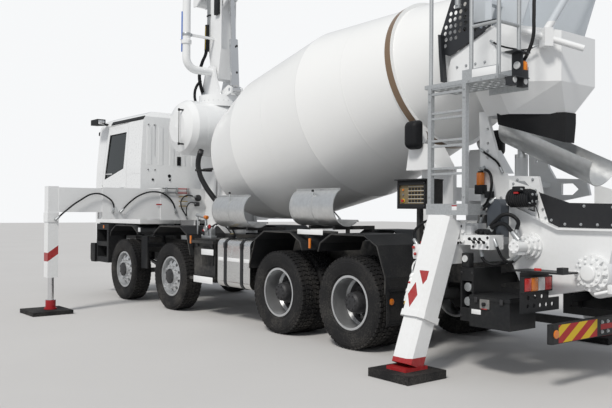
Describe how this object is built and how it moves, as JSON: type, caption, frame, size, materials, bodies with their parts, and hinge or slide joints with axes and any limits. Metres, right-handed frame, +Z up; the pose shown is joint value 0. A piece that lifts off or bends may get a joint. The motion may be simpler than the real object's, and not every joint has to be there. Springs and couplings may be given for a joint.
{
  "type": "concrete mixer truck",
  "caption": "Truck with a tilted rotating mixing drum, a concrete pump with folding placing boom, outrigger legs, chute and ladder.",
  "frame": {"origin": "on the ground under the middle of the overall box", "axes": "+X forward, +Y to the left, +Z up"},
  "size_m": [10.31, 6.44, 9.92],
  "materials": {
    "bare_metal": "satin",
    "black_metal": "satin black paint",
    "chrome_rod": "polished",
    "galvanised": "galvanised",
    "glass": "tinted",
    "grey_metal": "grey castings",
    "pad_plastic": "rough",
    "paint_white": "gloss white paint",
    "plastic_black": "matt",
    "tyre": "rubber"
  },
  "bodies": {
    "chassis": {"chassis_frame": "black_metal", "engine_block": "grey_metal", "front_bumper": "plastic_black", "axles": "grey_metal", "mudguards": "plastic_black", "fuel_tank": "bare_metal", "side_boxes": "black_metal", "water_tank": "paint_white", "boom_pedestal": "paint_white", "outrigger_pads": "pad_plastic", "drum_stands": "paint_white", "charging_hopper": "paint_white", "pump_hopper": "paint_white", "chute_extensions": "galvanised", "access_ladder": "galvanised", "rear_frame": "paint_white"},
    "cab": {"cab_shell": "paint_white", "windscreen": "glass", "cab_trim": "plastic_black"},
    "turret": {"boom_turret": "paint_white"},
    "arm_1": {"boom_arm_1": "paint_white", "delivery_pipe": "paint_white"},
    "arm_2": {"boom_arm_2": "paint_white"},
    "arm_3": {"boom_arm_3": "paint_white"},
    "luff_barrel": {"luff_barrel": "chrome_rod"},
    "luff_rod": {"luff_rod": "chrome_rod"},
    "drum": {"drum": "paint_white"},
    "chute": {"chute": "galvanised"},
    "door_left": {"cab_door_left": "paint_white", "door_glass_left": "glass"},
    "knuckle_1_left": {"knuckle_1_left": "grey_metal"},
    "knuckle_2_left": {"knuckle_2_left": "grey_metal"},
    "wheel_1_left": {"tyre_1_left": "tyre", "rim_1_left": "bare_metal"},
    "wheel_2_left": {"tyre_2_left": "tyre", "rim_2_left": "bare_metal"},
    "wheel_3_left": {"tyre_3_left": "tyre", "rim_3_left": "bare_metal"},
    "wheel_4_left": {"tyre_4_left": "tyre", "rim_4_left": "bare_metal"},
    "stage_1_left": {"stage_1_left": "paint_white"},
    "stage_2_left": {"stage_2_left": "paint_white"},
    "front_leg_left": {"front_leg_left": "paint_white"},
    "rear_leg_left": {"rear_leg_left": "paint_white"},
    "door_right": {"cab_door_right": "paint_white", "door_glass_right": "glass"},
    "knuckle_1_right": {"knuckle_1_right": "grey_metal"},
    "knuckle_2_right": {"knuckle_2_right": "grey_metal"},
    "wheel_1_right": {"tyre_1_right": "tyre", "rim_1_right": "bare_metal"},
    "wheel_2_right": {"tyre_2_right": "tyre", "rim_2_right": "bare_metal"},
    "wheel_3_right": {"tyre_3_right": "tyre", "rim_3_right": "bare_metal"},
    "wheel_4_right": {"tyre_4_right": "tyre", "rim_4_right": "bare_metal"},
    "stage_1_right": {"stage_1_right": "paint_white"},
    "stage_2_right": {"stage_2_right": "paint_white"},
    "front_leg_right": {"front_leg_right": "paint_white"},
    "rear_leg_right": {"rear_leg_right": "paint_white"}
  },
  "joints": [
    {"name": "cab_tilt", "type": "hinge", "parent": "chassis", "child": "cab", "pos_m": [5.085, 0, 0.96], "axis": [0, 1, 0], "range_deg": [0, 60]},
    {"name": "door_left", "type": "hinge", "parent": "cab", "child": "door_left", "pos_m": [4.823, 1.166, 1.7], "axis": [0, 0, -1], "range_deg": [0, 70]},
    {"name": "door_right", "type": "hinge", "parent": "cab", "child": "door_right", "pos_m": [4.823, -1.166, 1.7], "axis": [0, 0, 1], "range_deg": [0, 70]},
    {"name": "steer_1_left", "type": "hinge", "parent": "chassis", "child": "knuckle_1_left", "pos_m": [3.705, 0.9, 0.53], "axis": [0, 0, 1], "range_deg": [-35, 35]},
    {"name": "steer_1_right", "type": "hinge", "parent": "chassis", "child": "knuckle_1_right", "pos_m": [3.705, -0.9, 0.53], "axis": [0, 0, 1], "range_deg": [-35, 35]},
    {"name": "steer_2_left", "type": "hinge", "parent": "chassis", "child": "knuckle_2_left", "pos_m": [2.005, 0.9, 0.53], "axis": [0, 0, 1], "range_deg": [-28, 28]},
    {"name": "steer_2_right", "type": "hinge", "parent": "chassis", "child": "knuckle_2_right", "pos_m": [2.005, -0.9, 0.53], "axis": [0, 0, 1], "range_deg": [-28, 28]},
    {"name": "wheel_1_left", "type": "hinge", "parent": "knuckle_1_left", "child": "wheel_1_left", "pos_m": [3.705, 1.09, 0.53], "axis": [0, 1, 0], "continuous": true},
    {"name": "wheel_1_right", "type": "hinge", "parent": "knuckle_1_right", "child": "wheel_1_right", "pos_m": [3.705, -1.09, 0.53], "axis": [0, 1, 0], "continuous": true},
    {"name": "wheel_2_left", "type": "hinge", "parent": "knuckle_2_left", "child": "wheel_2_left", "pos_m": [2.005, 1.09, 0.53], "axis": [0, 1, 0], "continuous": true},
    {"name": "wheel_2_right", "type": "hinge", "parent": "knuckle_2_right", "child": "wheel_2_right", "pos_m": [2.005, -1.09, 0.53], "axis": [0, 1, 0], "continuous": true},
    {"name": "wheel_3_left", "type": "hinge", "parent": "chassis", "child": "wheel_3_left", "pos_m": [-0.845, 1.09, 0.53], "axis": [0, 1, 0], "continuous": true},
    {"name": "wheel_3_right", "type": "hinge", "parent": "chassis", "child": "wheel_3_right", "pos_m": [-0.845, -1.09, 0.53], "axis": [0, 1, 0], "continuous": true},
    {"name": "wheel_4_left", "type": "hinge", "parent": "chassis", "child": "wheel_4_left", "pos_m": [-2.195, 1.09, 0.53], "axis": [0, 1, 0], "continuous": true},
    {"name": "wheel_4_right", "type": "hinge", "parent": "chassis", "child": "wheel_4_right", "pos_m": [-2.195, -1.09, 0.53], "axis": [0, 1, 0], "continuous": true},
    {"name": "drum_spin", "type": "hinge", "parent": "chassis", "child": "drum", "pos_m": [1.705, 0, 2.275], "axis": [-0.9756, 0, 0.2195], "continuous": true},
    {"name": "boom_slew", "type": "hinge", "parent": "chassis", "child": "turret", "pos_m": [2.505, 0, 3.43], "axis": [0, 0, 1], "range_deg": [-180, 180]},
    {"name": "arm_1", "type": "hinge", "parent": "turret", "child": "arm_1", "pos_m": [2.505, 0, 3.95], "axis": [0, -1, 0], "range_deg": [0, 80]},
    {"name": "arm_2", "type": "hinge", "parent": "arm_1", "child": "arm_2", "pos_m": [2.775, 0, 9.85], "axis": [0, -1, 0], "range_deg": [0, 180]},
    {"name": "arm_3", "type": "hinge", "parent": "arm_2", "child": "arm_3", "pos_m": [3.195, 0, 5.3], "axis": [0, 1, 0], "range_deg": [0, 180]},
    {"name": "luff_barrel", "type": "hinge", "parent": "turret", "child": "luff_barrel", "pos_m": [2.065, 0, 3.61], "axis": [0, -1, 0], "range_deg": [0, 78.7]},
    {"name": "luff_rod", "type": "slide", "parent": "luff_barrel", "child": "luff_rod", "axis": [0.07, 0, 0.9976], "range_m": [-0.7148, 0]},
    {"name": "stage_1_left", "type": "slide", "parent": "chassis", "child": "stage_1_left", "axis": [0, 1, 0], "range_m": [-0.98, 0]},
    {"name": "stage_2_left", "type": "slide", "parent": "stage_1_left", "child": "stage_2_left", "axis": [0, 1, 0], "range_m": [-0.665, 0]},
    {"name": "front_leg_left", "type": "slide", "parent": "stage_2_left", "child": "front_leg_left", "axis": [0, 0, 1], "range_m": [0, 0.32]},
    {"name": "rear_leg_left", "type": "slide", "parent": "chassis", "child": "rear_leg_left", "axis": [0, -0.3584, 0.9336], "range_m": [0, 0.36]},
    {"name": "stage_1_right", "type": "slide", "parent": "chassis", "child": "stage_1_right", "axis": [0, -1, 0], "range_m": [-0.98, 0]},
    {"name": "stage_2_right", "type": "slide", "parent": "stage_1_right", "child": "stage_2_right", "axis": [0, -1, 0], "range_m": [-0.665, 0]},
    {"name": "front_leg_right", "type": "slide", "parent": "stage_2_right", "child": "front_leg_right", "axis": [0, 0, 1], "range_m": [0, 0.32]},
    {"name": "rear_leg_right", "type": "slide", "parent": "chassis", "child": "rear_leg_right", "axis": [0, 0.3584, 0.9336], "range_m": [0, 0.36]},
    {"name": "chute_swivel", "type": "hinge", "parent": "chassis", "child": "chute", "pos_m": [-3.635, 0, 2.16], "axis": [0, 0, 1], "range_deg": [-30, 30]}
  ],
  "couplings": [
    {"joint": "steer_1_right", "follows": "steer_1_left", "ratio": 1},
    {"joint": "steer_2_left", "follows": "steer_1_left", "ratio": 0.8},
    {"joint": "steer_2_right", "follows": "steer_1_left", "ratio": 0.8},
    {"joint": "arm_3", "follows": "arm_2", "ratio": 1},
    {"joint": "luff_barrel", "follows": "arm_1", "ratio": 0.98361},
    {"joint": "luff_rod", "follows": "arm_1", "m_per_rad": -0.51158},
    {"joint": "stage_2_left", "follows": "stage_1_left", "ratio": 0.6781},
    {"joint": "stage_2_right", "follows": "stage_1_right", "ratio": 0.6781}
  ]
}
